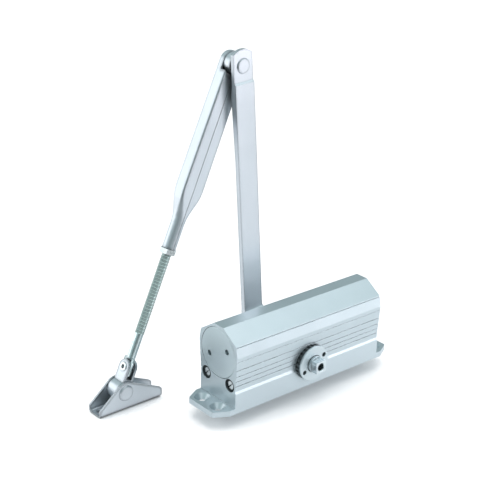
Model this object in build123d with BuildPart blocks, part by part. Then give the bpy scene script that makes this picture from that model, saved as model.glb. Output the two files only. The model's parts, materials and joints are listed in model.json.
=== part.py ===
"""Surface-mounted rack-and-pinion door closer with a two-piece arm.

Millimetres. X runs along the body, Y from the capped front side to the arm side, and Z away from the
mounting face. The origin is the centre of the four mounting holes, on the mounting face.
"""

from build123d import *
import math
import os

# ---- Body extrusion and its mounting feet ----
body_length = 148.0
base_half_width = 21.0
body_height = 65.5
top_flat_half = 5.75
roof_drop = 9.9
facet_drop = 9.0
shoulder_height = 16.4
shoulder_rise = 2.2
band_inset = 0.6
facet_bulge = 1.6
foot_length = 16.5
foot_thickness = 4.4
foot_corner_length = 11.9
foot_corner_depth = 6.5
foot_corner_radius = 2.0
mounting_hole_overhang = 7.5
mounting_spacing_y = 19.0
mounting_hole_radius = 3.0
mounting_sink_radius = 6.2

# ---- Grooves along the side walls ----
groove_heights = (22.8, 26.9, 31.1, 36.3)
groove_width = 0.7
groove_depth = 0.6
fine_groove_height = 43.4
fine_groove_width = 0.5
fine_groove_depth = 0.4
lip_groove_drop = 0.8
lip_groove_width = 0.9

# ---- Cylinder bore, end plugs and valves ----
bore_radius = 18.0
bore_roof = 4.3
running_clearance = 0.05
seat_clearance = 0.05
plug_radius = 20.2
plug_thickness = 8.5
plug_edge_chamfer = 0.5
plug_ring_cord = 1.8
plug_spanner_radius = 2.3
plug_spanner_depth = 2.5
plug_spanner_reach = 11.2
plug_spanner_tilt = -22.4
valve_spacing = 27.8
valve_height = 21.3
valve_screw_radius = 3.4
valve_screw_length = 24.0
valve_recess = 1.2
valve_pocket_radius = 5.3
valve_pocket_depth = 2.6
valve_collar_thickness = 1.9
valve_ring_cord = 1.0
valve_ring_offset = 5.0
valve_bore_end_gap = 1.5
valve_tip_length = 5.0
valve_tip_radius = 1.0
slot_width = 1.0
slot_depth = 1.1
slot_tilt = 135.0

# ---- Pinion, rack and piston ----
pinion_axis_height = 20.8
gear_module = 1.5
gear_teeth = 12
pressure_angle = 20.0
rack_addendum = 0.95
tooth_clearance = 0.3
tooth_backlash = 0.2
gear_width = 18.0
journal_radius = 6.7
square_width = 9.8
square_length = 5.6
shaft_proud = 2.1
square_corner = 0.9
collar_radius = 7.4
thread_hole_radius = 3.0
thread_hole_depth = 12.0
thread_mouth_radius = 3.5
opening_angle = 180.0
piston_gap = 0.3
piston_head_length = 25.0
piston_foot_length = 6.0
rack_overrun = 11.0
check_valve_radius = 4.0
check_valve_length = 8.0

# ---- Return spring ----
spring_wire_radius = 1.7
spring_mean_radius = 14.5
spring_turns = 4.0
spring_seat_thickness = 2.5
spring_guide_length = 4.0
spring_guide_clearance = 0.6

# ---- Pinion caps, bearings and shaft seals ----
cap_radius = 14.3
cap_proud = 5.3
cap_seat_depth = 0.9
cap_thread_radius = 12.9
cap_thread_length = 4.1
cap_notch_count = 24
cap_notch_radius = 1.05
cap_rim_lip = 1.3
cap_spanner_radius = 1.9
cap_spanner_depth = 2.0
cap_spanner_reach = 10.9
cap_spanner_tilt = 26.3
bearing_radius = 10.8
bearing_length = 6.8
bearing_overhang = 1.4
seal_radius = 8.6
seal_cover = 1.6
shaft_gap = 0.35
cap_edge_chamfer = 0.4

# ---- Main arm ----
arm_length = 221.7
arm_lean = 3.83
arm_width = 18.0
arm_bar_gap = 24.5
arm_bar_thickness = 4.3
arm_hub_radius = 13.0
arm_hub_thickness = 5.5
arm_hub_gap = 0.3
arm_hub_taper = 22.0
crank_start = 10.0
crank_run = 11.0
crank_bend_radius = 4.0
arm_swell = 1.6
swell_low_drop = 75.0
swell_top_drop = 22.0
elbow_step_drop = 13.5
elbow_step_run = 1.6
elbow_face_step = 1.4
elbow_thickness = 3.3
elbow_tip_reach = 12.6
elbow_corner_reach = 9.2
elbow_corner_radius = 1.2
screw_radius = 2.95
screw_length = 9.0
screw_head_radius = 5.2
screw_head_height = 4.2
screw_socket_width = 5.0
screw_socket_depth = 2.6
screw_washer_radius = 6.2
screw_washer_thickness = 1.5

# ---- Elbow joint ----
rivet_radius = 4.0
rivet_head_radius = 6.0
rivet_head_height = 1.0
rivet_tail_radius = 6.2
rivet_tail_height = 2.0
elbow_washer_radius = 6.4
elbow_washer_thickness = 1.9
turning_gap = 0.3

# ---- Forearm ----
forearm_lean = 24.2
forearm_depth = 11.5
forearm_width = 18.0
forearm_low_width = 19.6
forearm_wall = 1.5
forearm_corner = 1.3
forearm_front_gap = 3.3
taper_start = 99.0
taper_end = 126.0
taper_steps = 6
roundness_gap = 0.1
tube_radius = 5.45
tube_end = 147.0
cavity_end = 130.0
notch_radius = 11.5
rim_depth = 5.5
seam_width = 0.35
seam_depth = 0.8
spacer_front_radius = 8.6
spacer_fit = 0.2

# ---- Adjusting rod and lock nut ----
rod_radius = 3.95
rod_clearance = 0.1
rod_inner_end = 92.0
rod_end_chamfer = 0.8
shank_length = 20.2
shank_radius = 3.5
eye_thickness = 2.4
eye_half_width = 5.3
eye_tip_reach = 6.8
eye_tip_corner = 1.5
eye_shoulder_length = 1.2
eye_edge_radius = 0.8
nut_width = 12.0
nut_thickness = 4.0
nut_gap = 0.3
nut_chamfer = 0.5
nut_turn = -15.0

# ---- Shoe link ----
link_pivot_reach = 243.7
ear_thickness = 2.0
ear_near_gap = 0.3
ear_far_gap = 2.1
ear_top_gap = 1.8
barrel_radius = 8.3
slot_floor_gap = 0.5
fork_floor_wall = 5.9
tube_rivet_radius = 2.6
tube_rivet_bore = 1.7
tube_rivet_head_radius = 3.6
tube_rivet_head_height = 0.8

# ---- Shoe bracket ----
shoe_width = 15.6
shoe_sheet = 1.6
shoe_crown_radius = 8.7
shoe_base_drop = 14.5
shoe_left_reach = 23.7
shoe_right_reach = 33.5
shoe_left_height = 6.4
shoe_right_height = 9.4
shoe_left_corner = 1.0
shoe_right_corner = 2.5
shoe_bend_radius = 1.5
shoe_side_gap = 0.3
shoe_pin_radius = 4.0
shoe_pin_head_radius = 6.4
shoe_pin_head_height = 1.2
shoe_screw_radius = 2.3
shoe_screw_sink_radius = 3.3
shoe_left_screw_inset = 5.7
shoe_right_screw_inset = 6.0

# ---- Values that follow from the sizes above ----
body_half = body_length / 2
chamfer_edge_height = body_height - roof_drop
facet_edge_height = chamfer_edge_height - facet_drop
facet_edge_half_width = base_half_width + facet_bulge
bore_axis_height = body_height - bore_roof - bore_radius
cap_face = base_half_width + cap_proud
cap_seat = base_half_width - cap_seat_depth
cap_thread_start = cap_seat - cap_thread_length
bearing_start = cap_thread_start - bearing_overhang
bearing_end = bearing_start + bearing_length
square_start = cap_face + shaft_proud
square_end = square_start + square_length
arm_bar_face = base_half_width + arm_bar_gap
mounting_spacing_x = body_length + 2 * mounting_hole_overhang
pinion_axis = Axis((0, 0, pinion_axis_height), (0, 1, 0))
bore_axis = Axis((0, 0, bore_axis_height), (1, 0, 0))
pitch_radius = gear_module * gear_teeth / 2
tip_radius = pitch_radius + gear_module
root_radius = pitch_radius - rack_addendum - tooth_clearance
rack_pitch_height = pinion_axis_height + pitch_radius
rack_tip_height = rack_pitch_height - rack_addendum
rack_root_height = rack_pitch_height + gear_module + tooth_clearance
tooth_pitch = math.pi * gear_module
piston_travel = pitch_radius * math.radians(opening_angle)
piston_radius = bore_radius - running_clearance
piston_left = -body_half + plug_thickness + piston_gap
rack_left = piston_left + piston_head_length
rack_right = rack_overrun
piston_right = rack_right + piston_foot_length
spring_seat_right = body_half - plug_thickness
spring_left = piston_right
spring_right = spring_seat_right - spring_seat_thickness
spring_guide_radius = spring_mean_radius - spring_wire_radius - spring_guide_clearance

elbow_y = arm_bar_face + elbow_face_step
elbow_back = elbow_y + elbow_thickness
arm_up = Vector(-math.sin(math.radians(arm_lean)), 0, math.cos(math.radians(arm_lean)))
arm_across = Vector(math.cos(math.radians(arm_lean)), 0, math.sin(math.radians(arm_lean)))
hub_centre = Vector(0, 0, pinion_axis_height)
elbow_centre = hub_centre + arm_up * arm_length
hub_front = square_start + arm_hub_gap
hub_back = hub_front + arm_hub_thickness

forearm_front = elbow_back + forearm_front_gap
forearm_back = forearm_front + forearm_depth
forearm_mid = (forearm_front + forearm_back) / 2
forearm_down = Vector(-math.sin(math.radians(forearm_lean)), 0, -math.cos(math.radians(forearm_lean)))
forearm_side = Vector(-forearm_down.Z, 0, forearm_down.X)
rod_bore_radius = rod_radius + rod_clearance
fork_slot_width = ear_near_gap + eye_thickness + ear_far_gap
eye_offset = (ear_far_gap - ear_near_gap) / 2
eye_tip_swing = math.hypot(eye_half_width - eye_tip_corner, eye_tip_reach - eye_tip_corner) + eye_tip_corner
link_half_thickness = fork_slot_width / 2 + ear_thickness
barrel_length = shoe_width - 2 * shoe_sheet - 2 * shoe_side_gap
ear_half_width = barrel_length / 2
shank_end = link_pivot_reach - ear_half_width - ear_top_gap
eye_root = shank_end - eye_shoulder_length
thread_end = shank_end - shank_length
slot_floor_reach = link_pivot_reach + eye_tip_swing + slot_floor_gap
link_pin_reach = slot_floor_reach + fork_floor_wall + shoe_pin_radius
link_pin_centre = elbow_centre + forearm_down * link_pin_reach
rivet_bore_radius = rivet_radius + running_clearance


def cross_plane(reach):
    """Plane square to the forearm at a distance from the elbow: local x is along Y, local y to the side."""
    centre = elbow_centre + forearm_down * reach + Vector(0, forearm_mid, 0)
    return Plane(origin=centre, x_dir=(0, 1, 0), z_dir=forearm_down)


def side_plane(centre, along_y):
    """Plane facing the front side through a point of the linkage: local x is +X and local y is +Z."""
    return Plane(origin=(centre.X, along_y, centre.Z), x_dir=(1, 0, 0), z_dir=(0, -1, 0))


def turned_on_pinion(points):
    """Solid turned about the pinion axis from (position along Y, radius) points."""
    with BuildPart() as turned:
        with BuildSketch(Plane.YZ):
            with BuildLine():
                Polyline([(along, pinion_axis_height + radius) for along, radius in points], close=True)
            make_face()
        revolve(axis=pinion_axis)
    return turned


def turned_on_x(centre_y, centre_z, points):
    """Solid turned about a line along X from (position along X, radius) points."""
    with BuildPart() as turned:
        with BuildSketch(Plane.XZ.offset(-centre_y)):
            with BuildLine():
                Polyline([(along, centre_z + radius) for along, radius in points], close=True)
            make_face()
        revolve(axis=Axis((0, centre_y, centre_z), (1, 0, 0)))
    return turned


def turned_on_link(centre, points):
    """Solid turned about a Y line through a point of the linkage, from (position along Y, radius) points."""
    with BuildPart() as turned:
        with BuildSketch(Plane.YZ.offset(centre.X)):
            with BuildLine():
                Polyline([(along, centre.Z + radius) for along, radius in points], close=True)
            make_face()
        revolve(axis=Axis((centre.X, 0, centre.Z), (0, 1, 0)))
    return turned


# ---- Housing ----
band_half_width = base_half_width - band_inset
band_start_height = shoulder_height + shoulder_rise


def wall_half_width(height):
    """Half width of the side wall at a height: it leans out to the facet edge and back in above it."""
    if height < facet_edge_height:
        share = (height - band_start_height) / (facet_edge_height - band_start_height)
        return band_half_width + share * (facet_edge_half_width - band_half_width)
    share = (height - facet_edge_height) / (chamfer_edge_height - facet_edge_height)
    return facet_edge_half_width + share * (base_half_width - facet_edge_half_width)


grooves = [(height, groove_width, groove_depth) for height in groove_heights]
grooves.append((fine_groove_height, fine_groove_width, fine_groove_depth))
grooves.append((chamfer_edge_height - lip_groove_drop, lip_groove_width, groove_depth))

with BuildPart() as housing:
    with BuildSketch(Plane.YZ.offset(-body_half)):
        with BuildLine() as outline:
            Polyline(
                (0, 0),
                (base_half_width, 0),
                (base_half_width, shoulder_height),
                (band_half_width, band_start_height),
                (facet_edge_half_width, facet_edge_height),
                (base_half_width, chamfer_edge_height),
                (top_flat_half, body_height),
                (0, body_height),
            )
            mirror(outline.line, about=Plane.YZ)
        make_face()
    extrude(amount=body_length)
    with BuildSketch():
        with BuildLine() as foot_outline:
            foot_end = body_half + foot_length
            quarter = Polyline(
                (foot_end, 0),
                (foot_end, base_half_width - foot_corner_depth),
                (foot_end - foot_corner_length, base_half_width),
                (0, base_half_width),
            )
            mirror(foot_outline.line, about=Plane.YZ)
            mirror(foot_outline.line, about=Plane.XZ)
        make_face()
    extrude(amount=foot_thickness)
    fillet(housing.edges().filter_by(Axis.Z).group_by(SortBy.LENGTH)[0], foot_corner_radius)
    for side in (-1, 1):
        for height, width, depth in grooves:
            with BuildSketch(Plane.YZ.offset(-body_half)):
                with Locations((side * wall_half_width(height), height)):
                    Rectangle(2 * depth, width)
            extrude(amount=body_length, mode=Mode.SUBTRACT)
    with BuildSketch(Plane.YZ.offset(-body_half)):
        with Locations((0, bore_axis_height)):
            Circle(bore_radius)
    extrude(amount=body_length, mode=Mode.SUBTRACT)
    for side in (-1, 1):
        with BuildSketch(Plane.YZ.offset(side * body_half)):
            with Locations((0, bore_axis_height)):
                Circle(plug_radius + seat_clearance)
        extrude(amount=-side * plug_thickness, mode=Mode.SUBTRACT)
        with BuildSketch(side_plane(hub_centre, side * facet_edge_half_width)):
            Circle(cap_radius + seat_clearance)
        extrude(amount=side * (facet_edge_half_width - cap_seat), mode=Mode.SUBTRACT)
        with BuildSketch(side_plane(hub_centre, side * facet_edge_half_width)):
            Circle(cap_thread_radius + seat_clearance)
        extrude(amount=side * (facet_edge_half_width - cap_thread_start), mode=Mode.SUBTRACT)
    with BuildSketch(side_plane(hub_centre, 0)):
        Circle(bearing_radius + seat_clearance)
    extrude(amount=base_half_width, both=True, mode=Mode.SUBTRACT)
    with BuildSketch(Plane.YZ.offset(-body_half)):
        with Locations((-valve_spacing / 2, valve_height), (valve_spacing / 2, valve_height)):
            Circle(valve_screw_radius + running_clearance)
    extrude(amount=valve_recess + valve_screw_length + valve_bore_end_gap, mode=Mode.SUBTRACT)
    with BuildSketch(Plane.YZ.offset(-body_half)):
        with Locations((-valve_spacing / 2, valve_height), (valve_spacing / 2, valve_height)):
            Circle(valve_pocket_radius)
    extrude(amount=valve_pocket_depth, mode=Mode.SUBTRACT)
    with Locations(Plane.XY.offset(foot_thickness)):
        with GridLocations(mounting_spacing_x, mounting_spacing_y, 2, 2):
            CounterSinkHole(mounting_hole_radius, mounting_sink_radius, depth=foot_thickness)


# ---- End plugs and their sealing rings ----
ring_centre_radius = (bore_radius + plug_radius) / 2


def make_end_plug(side):
    """Screwed plug flush with the end face, with a corner groove for its ring and two spanner holes."""
    inner = body_half - plug_thickness
    groove_inner_radius = ring_centre_radius - plug_ring_cord / 2
    profile = [
        (side * body_half, 0),
        (side * body_half, plug_radius - plug_edge_chamfer),
        (side * (body_half - plug_edge_chamfer), plug_radius),
        (side * (inner + plug_ring_cord), plug_radius),
        (side * (inner + plug_ring_cord), groove_inner_radius),
        (side * inner, groove_inner_radius),
        (side * inner, 0),
    ]
    body = turned_on_x(0, bore_axis_height, profile)
    with BuildPart() as plug:
        add(body.part)
        with BuildSketch(Plane.YZ.offset(side * body_half)):
            with Locations((0, bore_axis_height)):
                with PolarLocations(plug_spanner_reach, 2, plug_spanner_tilt):
                    Circle(plug_spanner_radius)
        extrude(amount=-side * plug_spanner_depth, mode=Mode.SUBTRACT)
    return plug


def make_plug_ring(side):
    """Round-section ring squeezed between the plug and the pocket floor."""
    ring_x = side * (body_half - plug_thickness + plug_ring_cord / 2)
    with BuildPart() as ring:
        with BuildSketch(Plane.XZ):
            with Locations((ring_x, bore_axis_height + ring_centre_radius)):
                Circle(plug_ring_cord / 2)
        revolve(axis=bore_axis)
    return ring


end_plug_left = make_end_plug(-1)
end_plug_right = make_end_plug(1)
plug_ring_left = make_plug_ring(-1)
plug_ring_right = make_plug_ring(1)


# ---- Valve screws, their rings and their retaining collars ----
def make_valve_screw(side):
    """Slotted needle screw with a ring groove near its head."""
    head = -body_half + valve_recess
    tip = head + valve_screw_length
    groove = head + valve_ring_offset
    groove_radius = valve_screw_radius - valve_ring_cord
    profile = [
        (head, 0),
        (head, valve_screw_radius),
        (groove, valve_screw_radius),
        (groove, groove_radius),
        (groove + valve_ring_cord, groove_radius),
        (groove + valve_ring_cord, valve_screw_radius),
        (tip - valve_tip_length, valve_screw_radius),
        (tip, valve_tip_radius),
        (tip, 0),
    ]
    body = turned_on_x(side * valve_spacing / 2, valve_height, profile)
    with BuildPart() as screw:
        add(body.part)
        with BuildSketch(Plane.YZ.offset(head)):
            with Locations((side * valve_spacing / 2, valve_height)):
                Rectangle(3 * valve_screw_radius, slot_width, rotation=slot_tilt)
        extrude(amount=slot_depth, mode=Mode.SUBTRACT)
    return screw


def make_valve_ring(side):
    """Round-section ring in the groove of a valve screw."""
    ring_x = -body_half + valve_recess + valve_ring_offset + valve_ring_cord / 2
    ring_height = valve_height + valve_screw_radius - valve_ring_cord / 2
    with BuildPart() as ring:
        with BuildSketch(Plane.XZ.offset(-side * valve_spacing / 2)):
            with Locations((ring_x, ring_height)):
                Circle(valve_ring_cord / 2)
        revolve(axis=Axis((0, side * valve_spacing / 2, valve_height), (1, 0, 0)))
    return ring


def make_valve_collar(side):
    """Black collar pressed round the head of a valve screw, on the floor of its pocket."""
    floor = -body_half + valve_pocket_depth
    inner_radius = valve_screw_radius + running_clearance
    profile = [
        (floor, inner_radius),
        (floor, valve_pocket_radius - seat_clearance),
        (floor - valve_collar_thickness, valve_pocket_radius - seat_clearance),
        (floor - valve_collar_thickness, inner_radius),
    ]
    return turned_on_x(side * valve_spacing / 2, valve_height, profile)


closing_valve_screw = make_valve_screw(-1)
latching_valve_screw = make_valve_screw(1)
closing_valve_ring = make_valve_ring(-1)
latching_valve_ring = make_valve_ring(1)
closing_valve_collar = make_valve_collar(-1)
latching_valve_collar = make_valve_collar(1)


# ---- Pinion shaft ----
def involute_point(radius, flank_sign):
    """Point of a tooth flank at a radius, for a tooth that points along local +y."""
    base_radius = pitch_radius * math.cos(math.radians(pressure_angle))
    reach = max(radius, base_radius)
    here = math.sqrt((reach / base_radius) ** 2 - 1)
    at_pitch = math.tan(math.radians(pressure_angle))
    half_tooth = (tooth_pitch / 4 - tooth_backlash / 2) / pitch_radius
    unwound_to_pitch = at_pitch - math.atan(at_pitch)
    unwound_to_here = here - math.atan(here)
    turn = flank_sign * (half_tooth + unwound_to_pitch - unwound_to_here)
    return (radius * math.sin(turn), radius * math.cos(turn))


flank_steps = 4
base_circle_radius = pitch_radius * math.cos(math.radians(pressure_angle))
flank_start_radius = max(base_circle_radius, root_radius)
flank_radii = [
    flank_start_radius + (tip_radius - flank_start_radius) * n / flank_steps for n in range(flank_steps + 1)
]
tooth_foot_radius = root_radius - tooth_clearance

with BuildSketch(Plane.XY) as tooth:
    with BuildLine():
        rising = Spline([involute_point(radius, -1) for radius in flank_radii])
        falling = Spline([involute_point(radius, 1) for radius in flank_radii])
        ThreePointArc(rising @ 1, (0, tip_radius), falling @ 1)
        left_foot = involute_point(tooth_foot_radius, -1)
        right_foot = involute_point(tooth_foot_radius, 1)
        Polyline(rising @ 0, left_foot, right_foot, falling @ 0)
    make_face()

with BuildPart() as pinion_shaft:
    with BuildSketch(side_plane(hub_centre, 0)):
        Circle(root_radius)
        with PolarLocations(0, gear_teeth):
            add(tooth.sketch)
    extrude(amount=gear_width / 2, both=True)
    with BuildSketch(side_plane(hub_centre, 0)):
        Circle(collar_radius)
    extrude(amount=bearing_start - running_clearance, both=True)
    with BuildSketch(side_plane(hub_centre, 0)):
        Circle(journal_radius)
    extrude(amount=square_start, both=True)
    with BuildSketch(Plane(origin=hub_centre, x_dir=arm_across, z_dir=(0, -1, 0))):
        RectangleRounded(square_width, square_width, square_corner)
    extrude(amount=square_end, both=True)
    for side in (-1, 1):
        with Locations(Plane(origin=(0, side * square_end, pinion_axis_height), z_dir=(0, side, 0))):
            CounterSinkHole(thread_hole_radius, thread_mouth_radius, depth=thread_hole_depth)


# ---- Piston with its rack ----
with BuildPart() as piston:
    with BuildSketch(Plane.YZ.offset(piston_left)):
        with Locations((0, bore_axis_height)):
            Circle(piston_radius)
    extrude(amount=piston_right - piston_left)
    with BuildSketch(Plane.YZ.offset(piston_right)):
        with Locations((0, bore_axis_height)):
            Circle(spring_guide_radius)
    extrude(amount=spring_guide_length)
    with BuildSketch(Plane.XZ):
        with Locations(((rack_left + rack_right) / 2, rack_tip_height - piston_radius)):
            Rectangle(rack_right - rack_left, 2 * piston_radius)
    extrude(amount=piston_radius, both=True, mode=Mode.SUBTRACT)
    rack_slope = math.tan(math.radians(pressure_angle))
    gap_mouth_half = tooth_pitch / 4 + rack_addendum * rack_slope + tooth_backlash / 2
    gap_floor_half = tooth_pitch / 4 - (rack_root_height - rack_pitch_height) * rack_slope + tooth_backlash / 2
    last_gap = int((rack_right - gap_mouth_half) / tooth_pitch)
    first_gap = -int((-rack_left - gap_mouth_half) / tooth_pitch)
    with BuildSketch(Plane.XZ):
        for gap in range(first_gap, last_gap + 1):
            with BuildLine():
                Polyline(
                    (gap * tooth_pitch - gap_mouth_half, rack_tip_height),
                    (gap * tooth_pitch - gap_floor_half, rack_root_height),
                    (gap * tooth_pitch + gap_floor_half, rack_root_height),
                    (gap * tooth_pitch + gap_mouth_half, rack_tip_height),
                    close=True,
                )
            make_face()
    extrude(amount=piston_radius, both=True, mode=Mode.SUBTRACT)
    with BuildSketch(Plane.YZ.offset(piston_left)):
        with Locations((0, bore_axis_height)):
            Circle(check_valve_radius + seat_clearance)
    extrude(amount=check_valve_length, mode=Mode.SUBTRACT)

check_valve = turned_on_x(
    0,
    bore_axis_height,
    [
        (piston_left, check_valve_radius / 3),
        (piston_left, check_valve_radius),
        (piston_left + check_valve_length, check_valve_radius),
        (piston_left + check_valve_length, check_valve_radius / 2),
        (piston_left + check_valve_length / 2, check_valve_radius / 2),
    ],
)

# ---- Return spring and its seat ----
spring_seat = turned_on_x(
    0,
    bore_axis_height,
    [
        (spring_seat_right, 0),
        (spring_seat_right, bore_radius - seat_clearance),
        (spring_right, bore_radius - seat_clearance),
        (spring_right, spring_guide_radius),
        (spring_right - spring_guide_length, spring_guide_radius),
        (spring_right - spring_guide_length, 0),
    ],
)

coil_start = spring_left + spring_wire_radius
coil_length = spring_right - spring_left - 2 * spring_wire_radius
with BuildPart() as return_spring:
    with BuildLine() as coil:
        Helix(
            coil_length / spring_turns,
            coil_length,
            spring_mean_radius,
            center=(coil_start, 0, bore_axis_height),
            direction=(1, 0, 0),
        )
    with BuildSketch(Plane(origin=coil.line @ 0, z_dir=coil.line % 0)):
        Circle(spring_wire_radius)
    sweep(path=coil.line, is_frenet=True)


# ---- Pinion caps, bearings and shaft seals ----
def make_cap(side):
    """Screwed cap with a notched rim, a bearing pocket, a seal pocket and two spanner holes."""
    seal_end = cap_face - seal_cover
    seal_pocket = seal_radius + seat_clearance
    shaft_hole = journal_radius + shaft_gap
    profile = [
        (side * cap_thread_start, bearing_radius + seat_clearance),
        (side * cap_thread_start, cap_thread_radius),
        (side * cap_seat, cap_thread_radius),
        (side * cap_seat, cap_radius),
        (side * (cap_face - cap_edge_chamfer), cap_radius),
        (side * cap_face, cap_radius - cap_edge_chamfer),
        (side * cap_face, shaft_hole),
        (side * seal_end, shaft_hole),
        (side * seal_end, seal_pocket),
        (side * bearing_end, seal_pocket),
        (side * bearing_end, bearing_radius + seat_clearance),
    ]
    body = turned_on_pinion(profile)
    with BuildPart() as cap:
        add(body.part)
        with BuildSketch(side_plane(hub_centre, side * cap_seat)):
            with PolarLocations(cap_radius, cap_notch_count):
                Circle(cap_notch_radius)
        extrude(amount=-side * (cap_face - cap_seat - cap_rim_lip), mode=Mode.SUBTRACT)
        with BuildSketch(side_plane(hub_centre, side * cap_face)):
            with PolarLocations(cap_spanner_reach, 2, cap_spanner_tilt):
                Circle(cap_spanner_radius)
        extrude(amount=side * cap_spanner_depth, mode=Mode.SUBTRACT)
    return cap


def make_bearing(side):
    """Plain bush that carries one journal of the pinion shaft."""
    inner_radius = journal_radius + running_clearance
    return turned_on_pinion(
        [
            (side * bearing_start, inner_radius),
            (side * bearing_start, bearing_radius),
            (side * bearing_end, bearing_radius),
            (side * bearing_end, inner_radius),
        ]
    )


def make_seal(side):
    """Shaft seal behind the lip of the cap."""
    inner_radius = journal_radius + running_clearance
    return turned_on_pinion(
        [
            (side * bearing_end, inner_radius),
            (side * bearing_end, seal_radius),
            (side * (cap_face - seal_cover), seal_radius),
            (side * (cap_face - seal_cover), inner_radius),
        ]
    )


pinion_cap_front = make_cap(-1)
pinion_cap_back = make_cap(1)
pinion_bearing_front = make_bearing(-1)
pinion_bearing_back = make_bearing(1)
shaft_seal_front = make_seal(-1)
shaft_seal_back = make_seal(1)

# ---- Main arm: the front outline of a forged bar, cut to its cranked side profile ----
arm_face_plane = Plane(origin=hub_centre, x_dir=arm_across, z_dir=(0, -1, 0))
arm_side_plane = Plane(origin=hub_centre, x_dir=(0, 1, 0), z_dir=arm_across)
arm_half_width = arm_width / 2
bar_back = arm_bar_face + arm_bar_thickness
crank_rise = arm_bar_face - hub_front
crank_slope = crank_run / crank_rise
crank_back_start = crank_start - arm_bar_thickness * math.hypot(crank_run, crank_rise) / crank_rise
arm_tip = arm_length + elbow_tip_reach

with BuildPart() as main_arm:
    with BuildSketch(arm_face_plane) as arm_outline:
        Circle(arm_hub_radius)
        with BuildLine():
            Polyline(
                (-arm_hub_radius, 0),
                (-arm_half_width, arm_hub_taper),
                (arm_half_width, arm_hub_taper),
                (arm_hub_radius, 0),
                close=True,
            )
        make_face()
        with BuildLine():
            right_side = Line((arm_half_width, arm_hub_taper), (arm_half_width, arm_length + elbow_corner_reach))
            tip = ThreePointArc(right_side @ 1, (0, arm_tip), (-arm_half_width, arm_length + elbow_corner_reach))
            Polyline(tip @ 1, (-arm_half_width, arm_hub_taper), right_side @ 0)
        make_face()
        fillet(arm_outline.vertices().group_by(Axis.Y)[-1], elbow_corner_radius)
    extrude(amount=-(bar_back + arm_bar_face))
    with BuildSketch(arm_side_plane) as arm_profile:
        with BuildLine():
            front_low = (hub_front, -2 * arm_hub_radius)
            Polyline(
                front_low,
                (hub_front, crank_start),
                (arm_bar_face, crank_start + crank_run),
                (arm_bar_face, arm_length - elbow_step_drop),
                (elbow_y, arm_length - elbow_step_drop + elbow_step_run),
                (elbow_y, arm_tip + arm_width),
                (elbow_back, arm_tip + arm_width),
                (elbow_back, arm_length - elbow_step_drop),
                (bar_back + arm_swell, arm_length - swell_top_drop),
                (bar_back, arm_length - swell_low_drop),
                (bar_back, crank_back_start + crank_slope * (bar_back - hub_front)),
                (hub_back, crank_back_start + crank_slope * (hub_back - hub_front)),
                (hub_back, -2 * arm_hub_radius),
                close=True,
            )
        make_face()
        crank_foot = crank_start - arm_bar_thickness
        bends = arm_profile.vertices().filter_by_position(Axis.Y, crank_foot, crank_start + 2 * crank_run)
        fillet(bends, crank_bend_radius)
    extrude(amount=2 * arm_hub_radius, both=True, mode=Mode.INTERSECT)
    with BuildSketch(arm_face_plane):
        RectangleRounded(square_width + 2 * seat_clearance, square_width + 2 * seat_clearance, square_corner)
    extrude(amount=-(hub_back + arm_hub_thickness), mode=Mode.SUBTRACT)
    with BuildSketch(side_plane(elbow_centre, elbow_y - elbow_thickness)):
        Circle(rivet_bore_radius)
    extrude(amount=-3 * elbow_thickness, mode=Mode.SUBTRACT)

# ---- Arm screw and washer ----
washer_back = hub_back + screw_washer_thickness
screw_head_back = washer_back + screw_head_height
arm_washer = turned_on_pinion(
    [
        (hub_back, screw_radius + seat_clearance),
        (hub_back, screw_washer_radius),
        (washer_back, screw_washer_radius),
        (washer_back, screw_radius + seat_clearance),
    ]
)
arm_screw_body = turned_on_pinion(
    [
        (washer_back - screw_length, 0),
        (washer_back - screw_length, screw_radius),
        (washer_back, screw_radius),
        (washer_back, screw_head_radius),
        (screw_head_back - plug_edge_chamfer, screw_head_radius),
        (screw_head_back, screw_head_radius - plug_edge_chamfer),
        (screw_head_back, 0),
    ]
)
with BuildPart() as arm_screw:
    add(arm_screw_body.part)
    with BuildSketch(side_plane(hub_centre, screw_head_back)):
        RegularPolygon(screw_socket_width / 2, 6, major_radius=False)
    extrude(amount=screw_socket_depth, mode=Mode.SUBTRACT)

# ---- Elbow rivet, washer and spacer ----
washer_rear = elbow_back + elbow_washer_thickness
spacer_front = washer_rear + turning_gap
cup_floor = forearm_back - forearm_wall
rim_front = forearm_back - rim_depth
rivet_tail_front = forearm_back + turning_gap
elbow_rivet = turned_on_link(
    elbow_centre,
    [
        (elbow_y - rivet_head_height, 0),
        (elbow_y - rivet_head_height, rivet_head_radius - rivet_head_height),
        (elbow_y - rivet_head_height / 2, rivet_head_radius - rivet_head_height / 4),
        (elbow_y, rivet_head_radius),
        (elbow_y, rivet_radius),
        (rivet_tail_front, rivet_radius),
        (rivet_tail_front, rivet_tail_radius),
        (rivet_tail_front + rivet_tail_height / 2, rivet_tail_radius - rivet_tail_height / 4),
        (rivet_tail_front + rivet_tail_height, rivet_tail_radius - rivet_tail_height),
        (rivet_tail_front + rivet_tail_height, 0),
    ],
)
elbow_washer = turned_on_link(
    elbow_centre,
    [
        (elbow_back, rivet_bore_radius),
        (elbow_back, elbow_washer_radius),
        (washer_rear, elbow_washer_radius),
        (washer_rear, rivet_bore_radius),
    ],
)
spacer_hub_radius = forearm_width / 2 - forearm_wall / 2 - forearm_corner - spacer_fit
elbow_spacer = turned_on_link(
    elbow_centre,
    [
        (spacer_front, rivet_bore_radius),
        (spacer_front, spacer_front_radius),
        (rim_front, spacer_front_radius),
        (rim_front, spacer_hub_radius),
        (cup_floor, spacer_hub_radius),
        (cup_floor, rivet_bore_radius),
    ],
)

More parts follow.
